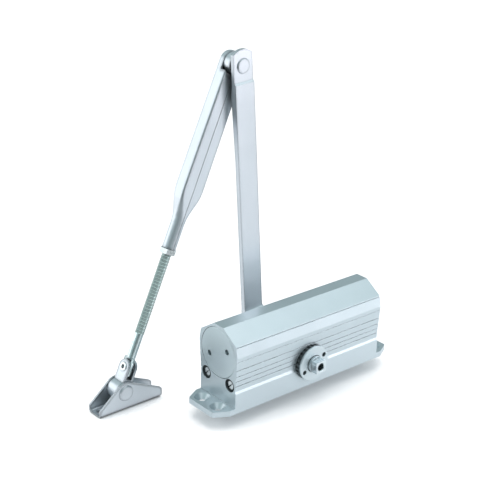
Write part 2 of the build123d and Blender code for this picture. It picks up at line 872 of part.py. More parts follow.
# ---- Forearm: folded box that narrows to a tube ----
def taper_section(share, inset):
    """Depth, width and corner radius between the box (share 0) and the tube (share 1)."""
    blend = (1 - math.cos(math.pi * share)) / 2
    box_corner = forearm_corner - inset / 2
    depth = forearm_depth - (forearm_depth - 2 * tube_radius) * blend - 2 * inset
    width = forearm_low_width - (forearm_low_width - 2 * tube_radius) * blend - 2 * inset
    corner = box_corner + (tube_radius - inset - roundness_gap - box_corner) * blend
    return depth, width, corner


def folded_skin(inset, end_reach):
    """Solid inside the folded skin, drawn in by an inset: rounded elbow end, box, narrowing and tube."""
    reach = forearm_width / 2 - inset
    with BuildPart() as skin:
        with BuildSketch(cross_plane(0)):
            RectangleRounded(forearm_depth - 2 * inset, 2 * reach, forearm_corner - inset / 2)
        with BuildSketch(cross_plane(taper_start)):
            RectangleRounded(*taper_section(0, inset))
        loft(ruled=True)
        for step in range(taper_steps):
            for share in (step / taper_steps, (step + 1) / taper_steps):
                with BuildSketch(cross_plane(taper_start + (taper_end - taper_start) * share)):
                    RectangleRounded(*taper_section(share, inset))
            loft(ruled=True)
        with BuildSketch(cross_plane(taper_end)):
            Circle(tube_radius - inset)
        extrude(amount=end_reach - taper_end)
        with BuildSketch(Plane.YZ.offset(elbow_centre.X)):
            with Locations((forearm_mid, elbow_centre.Z)):
                RectangleRounded(forearm_depth - 2 * inset, 2 * reach, forearm_corner - inset / 2)
                Rectangle(forearm_depth, reach, align=(Align.CENTER, Align.MIN), mode=Mode.INTERSECT)
        revolve(axis=Axis((elbow_centre.X, 0, elbow_centre.Z), (0, 1, 0)))
    return skin


forearm_skin = folded_skin(0, tube_end)
forearm_cavity = folded_skin(forearm_wall, cavity_end)

with BuildPart() as forearm:
    add(forearm_skin.part)
    add(forearm_cavity.part, mode=Mode.SUBTRACT)
    with BuildSketch(cross_plane(taper_start)):
        Circle(rod_bore_radius)
    extrude(amount=tube_end - taper_start, mode=Mode.SUBTRACT)
    with BuildSketch(side_plane(elbow_centre, rim_front)):
        Circle(notch_radius)
    extrude(amount=2 * forearm_depth, mode=Mode.SUBTRACT)
    with BuildSketch(side_plane(elbow_centre, cup_floor)):
        Circle(rivet_bore_radius)
    extrude(amount=-2 * forearm_wall, mode=Mode.SUBTRACT)
    with BuildSketch(cross_plane(0)):
        with Locations((seam_depth - tube_radius, 0)):
            Rectangle(forearm_depth, seam_width, align=(Align.MAX, Align.CENTER))
    extrude(amount=tube_end, mode=Mode.SUBTRACT)

# ---- Adjusting rod, threaded along most of its length, with a flattened eye ----
eye_centre = elbow_centre + forearm_down * link_pivot_reach + Vector(0, forearm_mid, 0)
eye_plane = Plane(origin=eye_centre, x_dir=(0, 1, 0), z_dir=forearm_side * -1)
eye_bore_radius = tube_rivet_radius + running_clearance

with BuildPart() as adjusting_rod:
    with BuildSketch(cross_plane(rod_inner_end)):
        Circle(rod_radius)
    extrude(amount=thread_end - rod_inner_end)
    rod_rims = adjusting_rod.edges().filter_by(GeomType.CIRCLE).sort_by(Axis(elbow_centre, forearm_down))
    chamfer(rod_rims[0], rod_end_chamfer)
    with BuildSketch(cross_plane(thread_end)):
        Circle(shank_radius)
    extrude(amount=eye_root - thread_end)
    with BuildSketch(cross_plane(eye_root)):
        RectangleRounded(2 * shank_radius, 2 * shank_radius, shank_radius - roundness_gap)
    with BuildSketch(cross_plane(shank_end)):
        with Locations((0, -eye_offset)):
            RectangleRounded(2 * eye_half_width, eye_thickness, eye_edge_radius)
    loft(ruled=True)
    with BuildSketch(eye_plane.offset(eye_offset - eye_thickness / 2)) as eye:
        with Locations((0, shank_end - link_pivot_reach)):
            eye_length = link_pivot_reach + eye_tip_reach - shank_end
            Rectangle(2 * eye_half_width, eye_length, align=(Align.CENTER, Align.MIN))
        fillet(eye.vertices().group_by(Axis.Y)[-1], eye_tip_corner)
    extrude(amount=eye_thickness)
    with BuildSketch(eye_plane):
        Circle(eye_bore_radius)
    extrude(amount=fork_slot_width, both=True, mode=Mode.SUBTRACT)

# ---- Lock nut ----
nut_corner_radius = nut_width / math.sqrt(3)

with BuildPart() as lock_nut:
    with BuildSketch(cross_plane(tube_end + nut_gap)):
        Circle(nut_corner_radius)
    extrude(amount=nut_thickness)
    chamfer(lock_nut.edges().filter_by(GeomType.CIRCLE), nut_chamfer)
    with BuildSketch(cross_plane(tube_end + nut_gap)):
        RegularPolygon(nut_corner_radius, 6, rotation=nut_turn)
    extrude(amount=nut_thickness, mode=Mode.INTERSECT)
    with BuildSketch(cross_plane(tube_end + nut_gap)):
        Circle(rod_bore_radius)
    extrude(amount=nut_thickness, mode=Mode.SUBTRACT)

# ---- Shoe link: a slotted fork on a barrel ----
with BuildPart() as shoe_link:
    with BuildSketch(eye_plane):
        Circle(ear_half_width)
        Rectangle(2 * ear_half_width, link_pin_reach - link_pivot_reach, align=(Align.CENTER, Align.MIN))
    extrude(amount=link_half_thickness, both=True)
    with BuildSketch(side_plane(link_pin_centre, forearm_mid - barrel_length / 2)):
        Circle(barrel_radius)
    extrude(amount=-barrel_length)
    with BuildSketch(cross_plane(link_pivot_reach - 2 * ear_half_width)):
        Rectangle(2 * barrel_length, fork_slot_width)
    extrude(amount=slot_floor_reach - link_pivot_reach + 2 * ear_half_width, mode=Mode.SUBTRACT)
    with BuildSketch(eye_plane):
        Circle(eye_bore_radius)
    extrude(amount=2 * link_half_thickness, both=True, mode=Mode.SUBTRACT)
    with BuildSketch(side_plane(link_pin_centre, forearm_mid)):
        Circle(shoe_pin_radius + running_clearance)
    extrude(amount=barrel_length, both=True, mode=Mode.SUBTRACT)

with BuildPart() as link_rivet:
    with BuildSketch(eye_plane):
        Circle(tube_rivet_radius)
    extrude(amount=link_half_thickness, both=True)
    for side in (-1, 1):
        with BuildSketch(eye_plane.offset(side * link_half_thickness)):
            Circle(tube_rivet_head_radius)
        extrude(amount=side * tube_rivet_head_height)
        chamfer(link_rivet.edges().sort_by(Axis(eye_centre, forearm_side * -side))[-1], tube_rivet_head_height / 2)
    with BuildSketch(eye_plane):
        Circle(tube_rivet_bore)
    extrude(amount=2 * link_half_thickness, both=True, mode=Mode.SUBTRACT)

# ---- Shoe bracket: folded sheet channel ----
shoe_front = forearm_mid - shoe_width / 2
shoe_back = forearm_mid + shoe_width / 2
shoe_plane = side_plane(link_pin_centre, shoe_front)
left_centre = shoe_left_corner - shoe_left_reach
right_centre = shoe_right_reach - shoe_right_corner
outline_circles = [
    (0, 0, shoe_crown_radius),
    (left_centre, shoe_left_corner - shoe_base_drop, shoe_left_corner),
    (left_centre, shoe_left_height - shoe_left_corner - shoe_base_drop, shoe_left_corner),
    (right_centre, shoe_right_corner - shoe_base_drop, shoe_right_corner),
    (right_centre, shoe_right_height - shoe_right_corner - shoe_base_drop, shoe_right_corner),
]
shoe_base = link_pin_centre.Z - shoe_base_drop
shoe_top = link_pin_centre.Z + shoe_crown_radius
shoe_screw_left = link_pin_centre.X - shoe_left_reach + shoe_left_screw_inset
shoe_screw_right = link_pin_centre.X + shoe_right_reach - shoe_right_screw_inset

with BuildPart() as shoe_bracket:
    with BuildSketch(shoe_plane):
        for x, z, radius in outline_circles:
            with Locations((x, z)):
                Circle(radius)
        make_hull()
    extrude(amount=-shoe_width)
    with BuildSketch(Plane.YZ.offset(link_pin_centre.X)):
        with BuildLine():
            outer_fold = FilletPolyline(
                (shoe_front, shoe_top),
                (shoe_front, shoe_base),
                (shoe_back, shoe_base),
                (shoe_back, shoe_top),
                radius=shoe_bend_radius + shoe_sheet,
            )
            inner_fold = FilletPolyline(
                (shoe_front + shoe_sheet, shoe_top),
                (shoe_front + shoe_sheet, shoe_base + shoe_sheet),
                (shoe_back - shoe_sheet, shoe_base + shoe_sheet),
                (shoe_back - shoe_sheet, shoe_top),
                radius=shoe_bend_radius,
            )
            Line(outer_fold @ 0, inner_fold @ 0)
            Line(outer_fold @ 1, inner_fold @ 1)
        make_face()
    extrude(amount=shoe_left_reach + shoe_right_reach, both=True, mode=Mode.INTERSECT)
    with BuildSketch(shoe_plane):
        Circle(shoe_pin_radius + seat_clearance)
    extrude(amount=-shoe_width, mode=Mode.SUBTRACT)
    with Locations(
        (shoe_screw_left, forearm_mid, shoe_base + shoe_sheet),
        (shoe_screw_right, forearm_mid, shoe_base + shoe_sheet),
    ):
        CounterSinkHole(shoe_screw_radius, shoe_screw_sink_radius, depth=shoe_sheet)

pin_dome = shoe_pin_head_height / 2
shoe_pin = turned_on_link(
    link_pin_centre,
    [
        (shoe_front - shoe_pin_head_height, 0),
        (shoe_front - shoe_pin_head_height, shoe_pin_head_radius - 2 * pin_dome),
        (shoe_front - pin_dome, shoe_pin_head_radius - pin_dome / 2),
        (shoe_front, shoe_pin_head_radius),
        (shoe_front, shoe_pin_radius),
        (shoe_back, shoe_pin_radius),
        (shoe_back, shoe_pin_head_radius),
        (shoe_back + pin_dome, shoe_pin_head_radius - pin_dome / 2),
        (shoe_back + shoe_pin_head_height, shoe_pin_head_radius - 2 * pin_dome),
        (shoe_back + shoe_pin_head_height, 0),
    ],
)

# ---- Export ----
pieces = {
    "housing": housing,
    "end_plug_left": end_plug_left,
    "end_plug_right": end_plug_right,
    "plug_ring_left": plug_ring_left,
    "plug_ring_right": plug_ring_right,
    "closing_valve_screw": closing_valve_screw,
    "latching_valve_screw": latching_valve_screw,
    "closing_valve_ring": closing_valve_ring,
    "latching_valve_ring": latching_valve_ring,
    "closing_valve_collar": closing_valve_collar,
    "latching_valve_collar": latching_valve_collar,
    "pinion_shaft": pinion_shaft,
    "piston": piston,
    "check_valve": check_valve,
    "return_spring": return_spring,
    "spring_seat": spring_seat,
    "pinion_cap_front": pinion_cap_front,
    "pinion_cap_back": pinion_cap_back,
    "pinion_bearing_front": pinion_bearing_front,
    "pinion_bearing_back": pinion_bearing_back,
    "shaft_seal_front": shaft_seal_front,
    "shaft_seal_back": shaft_seal_back,
    "main_arm": main_arm,
    "arm_screw": arm_screw,
    "arm_washer": arm_washer,
    "elbow_rivet": elbow_rivet,
    "elbow_washer": elbow_washer,
    "elbow_spacer": elbow_spacer,
    "forearm": forearm,
    "lock_nut": lock_nut,
    "adjusting_rod": adjusting_rod,
    "shoe_link": shoe_link,
    "link_rivet": link_rivet,
    "shoe_bracket": shoe_bracket,
    "shoe_pin": shoe_pin,
}

os.makedirs("parts", exist_ok=True)
for name, piece in pieces.items():
    piece.part.label = name
    export_step(piece.part, f"parts/{name}.step")
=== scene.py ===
"""Door closer: finishes, the rod's screw thread, light and camera, on the frame packed from the CAD.

Everything is in metres, in the CAD's own frame. MM turns millimetres into metres.
"""

import json
import math

import bmesh
import bpy
from mathutils import Matrix, Vector


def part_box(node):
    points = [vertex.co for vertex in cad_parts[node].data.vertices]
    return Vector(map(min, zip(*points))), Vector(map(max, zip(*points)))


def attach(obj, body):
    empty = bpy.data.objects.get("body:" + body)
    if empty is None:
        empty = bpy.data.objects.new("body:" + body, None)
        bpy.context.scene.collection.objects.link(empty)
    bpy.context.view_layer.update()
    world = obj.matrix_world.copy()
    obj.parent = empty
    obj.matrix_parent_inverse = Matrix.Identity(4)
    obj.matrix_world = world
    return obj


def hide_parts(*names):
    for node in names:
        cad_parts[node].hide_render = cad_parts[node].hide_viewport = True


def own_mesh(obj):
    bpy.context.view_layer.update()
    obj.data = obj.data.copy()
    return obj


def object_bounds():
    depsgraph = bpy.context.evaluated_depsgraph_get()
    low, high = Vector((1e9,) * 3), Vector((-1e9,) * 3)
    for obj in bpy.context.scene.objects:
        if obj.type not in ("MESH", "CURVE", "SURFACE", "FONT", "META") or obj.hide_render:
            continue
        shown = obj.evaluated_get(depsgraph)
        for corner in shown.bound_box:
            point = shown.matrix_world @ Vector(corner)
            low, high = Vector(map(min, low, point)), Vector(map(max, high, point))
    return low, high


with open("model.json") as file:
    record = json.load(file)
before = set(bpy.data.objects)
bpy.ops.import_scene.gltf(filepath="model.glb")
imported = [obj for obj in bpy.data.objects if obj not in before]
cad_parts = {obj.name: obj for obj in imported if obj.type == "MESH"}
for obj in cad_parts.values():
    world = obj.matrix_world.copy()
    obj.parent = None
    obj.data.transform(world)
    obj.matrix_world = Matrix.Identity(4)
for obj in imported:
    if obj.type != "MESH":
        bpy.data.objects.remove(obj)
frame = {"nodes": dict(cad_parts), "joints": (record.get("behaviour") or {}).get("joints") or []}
nodes = frame["nodes"]
joints = {joint["name"]: joint for joint in frame["joints"]}
bounds_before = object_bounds()

MM = 0.001

# ---- Camera: angles in radians, place in millimetres, lens and sensor in millimetres ----
CAMERA_AZIMUTH = -0.702097
CAMERA_ELEVATION = 0.394893
CAMERA_ROLL = 0.018025
CAMERA_POSITION = (-588.85, -643.19, 469.44)
CAMERA_CLIP_END = 20.0
LENS = 89.58
SENSOR = 36.0


def camera_axes(azimuth, elevation, roll):
    """Right, up and backward directions of the camera."""
    back = Vector(
        (
            math.sin(azimuth) * math.cos(elevation),
            -math.cos(azimuth) * math.cos(elevation),
            math.sin(elevation),
        )
    )
    level = Vector((-back.y, back.x, 0)).normalized()
    upright = back.cross(level)
    right = level * math.cos(roll) + upright * math.sin(roll)
    up = upright * math.cos(roll) - level * math.sin(roll)
    return right, up, back


def add_camera():
    """Camera at the photograph's angle."""
    data = bpy.data.cameras.new("camera")
    data.sensor_width = SENSOR
    data.lens = LENS
    data.clip_end = CAMERA_CLIP_END
    camera = bpy.data.objects.new("camera", data)
    bpy.context.scene.collection.objects.link(camera)
    right, up, back = camera_axes(CAMERA_AZIMUTH, CAMERA_ELEVATION, CAMERA_ROLL)
    turn = Matrix((right, up, back)).transposed().to_4x4()
    camera.matrix_world = Matrix.Translation(Vector(CAMERA_POSITION) * MM) @ turn
    bpy.context.scene.camera = camera


add_camera()

# ---- Material building blocks ----
# Cosine between the rounded and the flat normal, where an edge starts and where it is at its full strength.
EDGE_SPAN = (0.97, 0.85)
# The values that most of a noise lies between.
NOISE_SPAN = (0.3, 0.7)


def add_node(tree, kind, inputs=None, **settings):
    """Node with its settings; each input is a value, or another node's output to link."""
    made = tree.nodes.new(kind)
    for name, value in settings.items():
        setattr(made, name, value)
    for key, value in (inputs or {}).items():
        if isinstance(value, bpy.types.NodeSocket):
            tree.links.new(value, made.inputs[key])
        else:
            made.inputs[key].default_value = value
    return made


def new_material(name, metallic, roughness):
    """Empty principled material, with its even finish set on the shader's own sockets."""
    material = bpy.data.materials.new(name)
    material.use_nodes = True
    shader = material.node_tree.nodes["Principled BSDF"]
    shader.inputs["Metallic"].default_value = metallic
    shader.inputs["Roughness"].default_value = roughness
    return material, material.node_tree, shader


def place(tree, stretch=(1, 1, 1)):
    """Coordinates that ride with the piece, in metres, stretched along the axes."""
    coordinates = add_node(tree, "ShaderNodeTexCoord").outputs["Object"]
    inputs = {"Vector": coordinates, "Scale": stretch}
    return add_node(tree, "ShaderNodeMapping", inputs).outputs["Vector"]


def noise(tree, vector, scale, detail=2.0):
    """Noise value from 0 to 1 at a scale in cells per metre."""
    inputs = {"Vector": vector, "Scale": scale, "Detail": detail}
    return add_node(tree, "ShaderNodeTexNoise", inputs).outputs["Fac"]


def remap(tree, value, low, high, to_low, to_high):
    """Value moved from one range to another, and held at its ends."""
    inputs = {"Value": value, "From Min": low, "From Max": high, "To Min": to_low, "To Max": to_high}
    return add_node(tree, "ShaderNodeMapRange", inputs).outputs["Result"]


def maths(tree, operation, first, second=0.0):
    """Result of a sum, product or other operation on one or two values."""
    return add_node(tree, "ShaderNodeMath", {0: first, 1: second}, operation=operation).outputs[0]


def reach_along(tree, vector, direction):
    """How far a vector reaches along a direction."""
    inputs = {0: vector, 1: direction}
    return add_node(tree, "ShaderNodeVectorMath", inputs, operation="DOT_PRODUCT").outputs["Value"]


def mix(tree, share, first, second):
    """Colour between two colours."""
    inputs = {"Factor": share, "A": first, "B": second}
    return add_node(tree, "ShaderNodeMix", inputs, data_type="RGBA").outputs["Result"]


def shade(colour, factor):
    """Colour made darker or lighter, as four channels."""
    return (*(min(1.0, channel * factor) for channel in colour), 1.0)


def crevice(tree, reach, samples=6):
    """1 on open surfaces, down to 0 in grooves and corners narrower than the reach."""
    return add_node(tree, "ShaderNodeAmbientOcclusion", {"Distance": reach}, samples=samples).outputs["AO"]


def rounded_normal(tree, radius):
    """Normal of a surface whose edges are rounded."""
    return add_node(tree, "ShaderNodeBevel", {"Radius": radius}, samples=4).outputs["Normal"]


def edge_mask(tree, radius):
    """1 along the outer edges, and 0 on flat faces: where the black parts' edges are rubbed, and where the
    enamel's edge tone goes.
    """
    rounded = rounded_normal(tree, radius)
    flat = add_node(tree, "ShaderNodeNewGeometry").outputs["Normal"]
    return remap(tree, reach_along(tree, rounded, flat), *EDGE_SPAN, 0.0, 1.0)


def bump(tree, height, distance, normal=None):
    """Surface relief of a real height in metres, on top of another normal."""
    inputs = {"Height": height, "Distance": distance, "Strength": 1.0}
    if normal is not None:
        inputs["Normal"] = normal
    return add_node(tree, "ShaderNodeBump", inputs).outputs["Normal"]


# ---- Finishes ----
# A SCALE is in cells per metre, a TONE multiplies the base colour, a SPAN is the range of a mask's input,
# a SHARE is the most that a tone covers, and a ROUGHNESS is added to the base roughness at a span's ends.
EDGE_RADIUS = 0.3 * MM

PATCH_SCALE = 22
PATCH_TONES = (0.965, 1.02)
FLAKE_SCALE = 5200
FLAKE_SPAN = (0.58, 0.78)
FLAKE_SHARE = 0.35
FLAKE_TONE = 1.3
FLAKE_HEIGHT = 0.0004 * MM
PEEL_SCALE = 750
PEEL_HEIGHT = 0.004 * MM
# Painted shade: the base colour darkens in grooves and corners that the ambient occlusion finds.
GROOVE_SHADE_SPAN = (0.12, 0.66)
# Painted shade: deep holes and recesses go nearly black in the base colour, over an ambient-occlusion reach
# of 9 mm.
HOLE_SHADE_REACH = 9 * MM
HOLE_SHADE_START = 0.06
HOLE_SHADE_TONE = 0.08
# Noise that breaks up the edge tone: the painted highlight along the body's edges, and the darker edges of
# the arms.
EDGE_BREAKUP_SCALE = 420
EDGE_BREAKUP_SPAN = (0.38, 0.6)
MOST_EDGE_SHARE = 0.9
RIM_TONE = 0.2
RIM_LIP = 1.3 * MM
RIM_BLUR = 0.1 * MM
SMEAR_SCALE = 60
SMEAR_STRETCH = (1, 1, 0.35)
SMEAR_ROUGHNESS = (-0.035, 0.045)


def enamel(
    name,
    colour,
    metallic,
    roughness,
    groove_shade_tone=0.3,
    groove_shade_reach=2.2,
    edge_highlight_and_darkening=(1.25, 0.7, 0.25),
    hole_shade_end=0.36,
    dark_rim=None,
):
    """Satin metallic enamel: fine flake, faint orange peel, painted shade in the grooves and deep holes,
    and a tone along the edges, which is a painted highlight where it is lighter.

    The edge tuple holds the edge's tone (above 1 a painted highlight, below 1 a darker edge), its width in
    millimetres and the least share of the edge that the tone covers.
    dark_rim is a distance from the plane y = 0: nearer than that, the rim is dark.
    """
    material, tree, shader = new_material(name, metallic, roughness)
    edge_tone, edge_width, least_edge_share = edge_highlight_and_darkening
    where = place(tree)
    patches = noise(tree, where, PATCH_SCALE, 3)
    flake = noise(tree, where, FLAKE_SCALE, 0)
    cloud = remap(tree, patches, *NOISE_SPAN, 0.0, 1.0)
    paint = mix(tree, cloud, *(shade(colour, tone) for tone in PATCH_TONES))
    sparkle = remap(tree, flake, *FLAKE_SPAN, 0.0, FLAKE_SHARE)
    speckled = mix(tree, sparkle, paint, shade(colour, FLAKE_TONE))
    # Painted shade: the base colour darkens in grooves narrower than the reach.
    unshaded_face = remap(tree, crevice(tree, groove_shade_reach * MM), *GROOVE_SHADE_SPAN, 0.0, 1.0)
    finish = mix(tree, unshaded_face, shade(colour, groove_shade_tone), speckled)
    # Painted shade: the base colour goes nearly black deep in holes, recesses and gaps between parts.
    out_of_hole_shade = remap(tree, crevice(tree, HOLE_SHADE_REACH), HOLE_SHADE_START, hole_shade_end, 0.0, 1.0)
    finish = mix(tree, out_of_hole_shade, shade(colour, HOLE_SHADE_TONE), finish)
    # Edge tone: above 1 it is a painted highlight along the edges, and below 1 the edges are darker.
    broken = remap(tree, noise(tree, where, EDGE_BREAKUP_SCALE, 2), *EDGE_BREAKUP_SPAN, least_edge_share, MOST_EDGE_SHARE)
    edge_tone_share = maths(tree, "MULTIPLY", edge_mask(tree, edge_width * MM), broken)
    finish = mix(tree, edge_tone_share, finish, shade(colour, edge_tone))
    if dark_rim is not None:
        depth = add_node(tree, "ShaderNodeSeparateXYZ", {0: where}).outputs["Y"]
        rim_span = (dark_rim - RIM_BLUR, dark_rim + RIM_BLUR)
        painted = remap(tree, maths(tree, "ABSOLUTE", depth), *rim_span, 0.0, 1.0)
        finish = mix(tree, painted, shade(colour, RIM_TONE), finish)
    tree.links.new(finish, shader.inputs["Base Color"])
    smear = noise(tree, place(tree, SMEAR_STRETCH), SMEAR_SCALE, 4)
    least, most = (roughness + change for change in SMEAR_ROUGHNESS)
    tree.links.new(remap(tree, smear, *NOISE_SPAN, least, most), shader.inputs["Roughness"])
    soft = rounded_normal(tree, EDGE_RADIUS)
    skin = bump(tree, noise(tree, where, PEEL_SCALE, 1), PEEL_HEIGHT, soft)
    tree.links.new(bump(tree, flake, FLAKE_HEIGHT, skin), shader.inputs["Normal"])
    return material


MARK_SCALE = 900
MARK_SPAN = (0.35, 0.65)
MARK_SHARE = 0.3
MARK_TONE = 0.72
MARK_HEIGHT = 0.0012 * MM
MARK_ROUGHNESS = (-0.06, 0.08)
STAIN_SCALE = 140
STAIN_SPAN = (0.35, 0.65)
STAIN_TONES = (0.9, 1.04)
# Painted shade: the base colour darkens in corners that the ambient occlusion finds.
CORNER_SHADE_SPAN = (0.2, 0.8)
# Painted shade of the thread: darker bands along the rod, 2.5 mm apart, stand in for the light and shade of
# its turns.
TURN_SHADE_RATE = 2 * math.pi / (2.5 * MM)
TURN_SHADE_WANDER = 4.0
TURN_SHADE_SPAN = (-0.5, 0.9)
TURN_SHADE_SHARE = 0.38
TURN_SHADE_TONE = 0.22


def steel(name, colour, roughness, grain, corner_shade_tone=0.4, corner_shade_reach=1.6, turn_axis=None):
    """Bare or plated steel with tool marks along the grain direction, stains and painted shade in the
    corners.

    turn_axis is the axis of a screw thread: darker bands along it, at twice the thread's pitch, are painted
    shade of its turns.
    """
    material, tree, shader = new_material(name, 1.0, roughness)
    where = place(tree)
    marks = noise(tree, place(tree, grain), MARK_SCALE, 3)
    stain = noise(tree, where, STAIN_SCALE, 4)
    stained = remap(tree, stain, *STAIN_SPAN, 0.0, 1.0)
    even = mix(tree, stained, *(shade(colour, tone) for tone in STAIN_TONES))
    marked = remap(tree, marks, *MARK_SPAN, 0.0, MARK_SHARE)
    streaked = mix(tree, marked, even, shade(colour, MARK_TONE))
    # Painted shade: the base colour darkens in corners narrower than the reach.
    unshaded_face = remap(tree, crevice(tree, corner_shade_reach * MM), *CORNER_SHADE_SPAN, 0.0, 1.0)
    finish = mix(tree, unshaded_face, shade(colour, corner_shade_tone), streaked)
    if turn_axis is not None:
        # Painted shade: bands along the thread's turns darken the base colour.
        turned = maths(tree, "MULTIPLY", reach_along(tree, where, turn_axis), TURN_SHADE_RATE)
        phase = maths(tree, "ADD", turned, maths(tree, "MULTIPLY", stain, TURN_SHADE_WANDER))
        turn_shade = remap(tree, maths(tree, "SINE", phase), *TURN_SHADE_SPAN, 0.0, TURN_SHADE_SHARE)
        finish = mix(tree, turn_shade, finish, shade(colour, TURN_SHADE_TONE))
    tree.links.new(finish, shader.inputs["Base Color"])
    least, most = (roughness + change for change in MARK_ROUGHNESS)
    tree.links.new(remap(tree, marks, *NOISE_SPAN, least, most), shader.inputs["Roughness"])
    soft = rounded_normal(tree, EDGE_RADIUS / 2)
    tree.links.new(bump(tree, marks, MARK_HEIGHT, soft), shader.inputs["Normal"])
    return material


POLYMER_GRAIN_SCALE = 2600
POLYMER_ROUGHNESS = (-0.08, 0.1)
POLYMER_SPECULAR = 0.25
DUST_SCALE = 260
DUST_SPAN = (0.45, 0.75)
DUST_SHARE = 0.35
DUST_TONE = 2.2
RUBBED_TONE = 2.6


def black(name, colour, roughness, relief):
    """Black rubber or moulded plastic: fine grain, grey dust and rubbed edges."""
    material, tree, shader = new_material(name, 0.0, roughness)
    where = place(tree)
    grain = noise(tree, where, POLYMER_GRAIN_SCALE, 2)
    dust = remap(tree, noise(tree, where, DUST_SCALE, 4), *DUST_SPAN, 0.0, DUST_SHARE)
    dusty = mix(tree, dust, shade(colour, 1.0), shade(colour, DUST_TONE))
    finish = mix(tree, edge_mask(tree, EDGE_RADIUS / 2), dusty, shade(colour, RUBBED_TONE))
    tree.links.new(finish, shader.inputs["Base Color"])
    least, most = (roughness + change for change in POLYMER_ROUGHNESS)
    tree.links.new(remap(tree, grain, *NOISE_SPAN, least, most), shader.inputs["Roughness"])
    tree.links.new(bump(tree, grain, relief * MM), shader.inputs["Normal"])
    shader.inputs["Specular IOR Level"].default_value = POLYMER_SPECULAR
    return material


# Scale of the tool marks along each axis: a small number draws them out. The rod stands nearly along Z.
EVEN_GRAIN = (1, 1, 1)
ALONG_ROD = (1, 1, 0.12)
ALONG_PINION = (1, 0.15, 1)
ALONG_BEARING = (1, 0.2, 1)

# On the arms the painted hole shade reaches further out, into the gaps between the arms.
ARM_SHEEN = {"metallic": 0.8, "roughness": 0.31, "hole_shade_end": 0.6}
cap_face = -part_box("pinion_cap_front")[0][1]
body_paint = enamel("body_enamel", (0.56, 0.62, 0.655), 0.75, 0.33, groove_shade_tone=0.18)
plug_paint = enamel("plug_enamel", (0.57, 0.64, 0.67), 0.75, 0.32)
cap_paint = enamel(
    "cap_enamel",
    (0.58, 0.64, 0.67),
    0.7,
    0.36,
    groove_shade_tone=0.12,
    groove_shade_reach=1.4,
    dark_rim=cap_face - RIM_LIP,
)
# The arms' edges are darker over a wide band. The body, plug and cap keep the lighter edges of the painted
# highlight.
arm_paint = enamel("arm_enamel", (0.61, 0.64, 0.68), edge_highlight_and_darkening=(0.3, 3.6, 0.85), **ARM_SHEEN)
strip_paint = enamel("arm_strip_enamel", (0.615, 0.64, 0.68), edge_highlight_and_darkening=(0.5, 2.2, 0.8), **ARM_SHEEN)
plated = steel("zinc_plate", (0.80, 0.83, 0.84), 0.28, EVEN_GRAIN)
shank_plate = steel("shank_zinc_plate", (0.66, 0.74, 0.75), 0.24, ALONG_ROD)
# The thread's roots are painted nearly black as shade, and bands of painted shade run along its turns.
thread_plate = steel(
    "thread_zinc_plate",
    (0.5, 0.6, 0.58),
    0.2,
    ALONG_ROD,
    corner_shade_tone=0.06,
    corner_shade_reach=1.2,
    turn_axis=joints["rod_adjust"]["axis"],
)
# Painted shade on the pinion reaches 5 mm from its corners.
pinion_steel = steel("pinion_steel", (0.68, 0.74, 0.77), 0.3, ALONG_PINION, corner_shade_tone=0.2, corner_shade_reach=5)
machined = steel("machined_steel", (0.62, 0.64, 0.66), 0.26, ALONG_PINION)
brass = steel("bearing_brass", (0.72, 0.56, 0.30), 0.3, ALONG_BEARING)
rubber = black("seal_rubber", (0.02, 0.02, 0.022), 0.6, 0.003)
collar_black = black("collar_plastic", (0.008, 0.013, 0.015), 0.5, 0.002)

FINISHES = [
    (body_paint, ["housing"]),
    (plug_paint, ["end_plug_left", "end_plug_right"]),
    (cap_paint, ["pinion_cap_front", "pinion_cap_back"]),
    (strip_paint, ["main_arm", "elbow_rivet", "shoe_pin"]),
    (arm_paint, ["forearm", "elbow_spacer", "shoe_link", "shoe_bracket"]),
    (plated, ["closing_valve_screw", "latching_valve_screw", "arm_screw", "arm_washer", "elbow_washer"]),
    (plated, ["link_rivet", "lock_nut"]),
    (shank_plate, ["adjusting_rod"]),
    (pinion_steel, ["pinion_shaft"]),
    (machined, ["piston", "return_spring", "spring_seat"]),
    (brass, ["pinion_bearing_front", "pinion_bearing_back", "check_valve"]),
    (rubber, ["plug_ring_left", "plug_ring_right", "closing_valve_ring", "latching_valve_ring"]),
    (rubber, ["shaft_seal_front", "shaft_seal_back"]),
    (collar_black, ["closing_valve_collar", "latching_valve_collar"]),
]

for material, names in FINISHES:
    for name in names:
        nodes[name].data.materials.clear()
        nodes[name].data.materials.append(material)

# ---- Adjusting rod with its rolled thread, in millimetres; places are distances from the elbow ----
ROD_INNER_END = 92.0
THREAD_END = 215.8
SHANK_END = 235.9
SHANK_RADIUS = 3.5
SHANK_SIDES = 48
SHANK_END_GAP = 0.02
THREAD_PITCH = 1.25
THREAD_DEPTH = 0.68
THREAD_CREST = 3.95
THREAD_SIDES = 32
# Corners of one turn: the share of the pitch, and the share of the depth above the root.
THREAD_PROFILE = ((0.0, 0.0), (0.25, 0.0), (0.56, 1.0), (0.69, 1.0))
SHARP_ANGLE = math.radians(40)
# In metres.
CUT_TOLERANCE = 1e-7
WELD_DISTANCE = 1e-6

elbow_point = Vector(joints["elbow"]["pos_m"]) / MM
rod_down = Vector(joints["rod_adjust"]["axis"])
rod_across = Vector((0, 1, 0))
rod_side = rod_across.cross(rod_down)


def on_rod(reach, angle, radius):
    """Point in metres on the rod, at a distance from the elbow."""
    around = rod_across * math.cos(angle) + rod_side * math.sin(angle)
    return (elbow_point + rod_down * reach + around * radius) * MM


